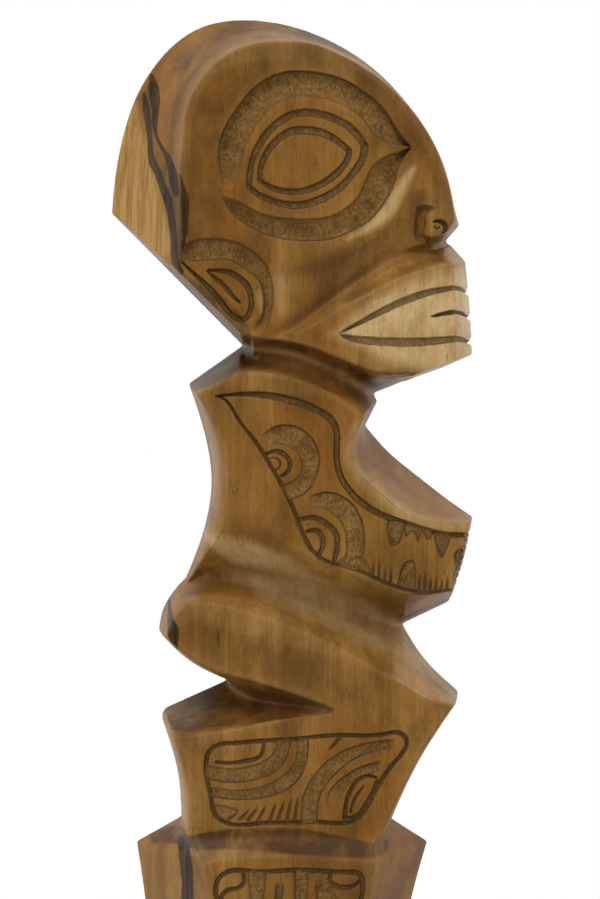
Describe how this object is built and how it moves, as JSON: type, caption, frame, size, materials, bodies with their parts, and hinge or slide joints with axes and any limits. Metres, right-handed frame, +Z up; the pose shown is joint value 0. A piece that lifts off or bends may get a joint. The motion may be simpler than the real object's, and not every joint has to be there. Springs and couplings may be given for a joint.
{
  "type": "carved wooden tiki figure",
  "caption": "Carved hardwood figure in profile: big head with ringed eyes and grooved mouth, jutting belly, bent legs, waisted pedestal on a chamfered plinth.",
  "frame": {"origin": "Centre of the overall box on the resting plane, under the felt pads.", "axes": "+X is the way the face looks, +Y is the figure's left side, +Z is up. The figure is symmetric about the XZ plane."},
  "size_m": [0.0776, 0.064, 0.2318],
  "materials": {
    "carved_wood": "hand-rubbed oil, grooves left darker",
    "plinth_wood": "satin oil",
    "dowel_wood": "plain beech",
    "screw_steel": "zinc plated",
    "washer_steel": "zinc plated",
    "felt": "pressed felt"
  },
  "bodies": {
    "root": {"carved_figure": "carved_wood", "plinth": "plinth_wood", "locating_dowel_front": "dowel_wood", "locating_dowel_back": "dowel_wood", "fixing_screw": "screw_steel", "screw_washer": "washer_steel", "felt_pad_front_left": "felt", "felt_pad_front_right": "felt", "felt_pad_back_left": "felt", "felt_pad_back_right": "felt"}
  },
  "joints": []
}
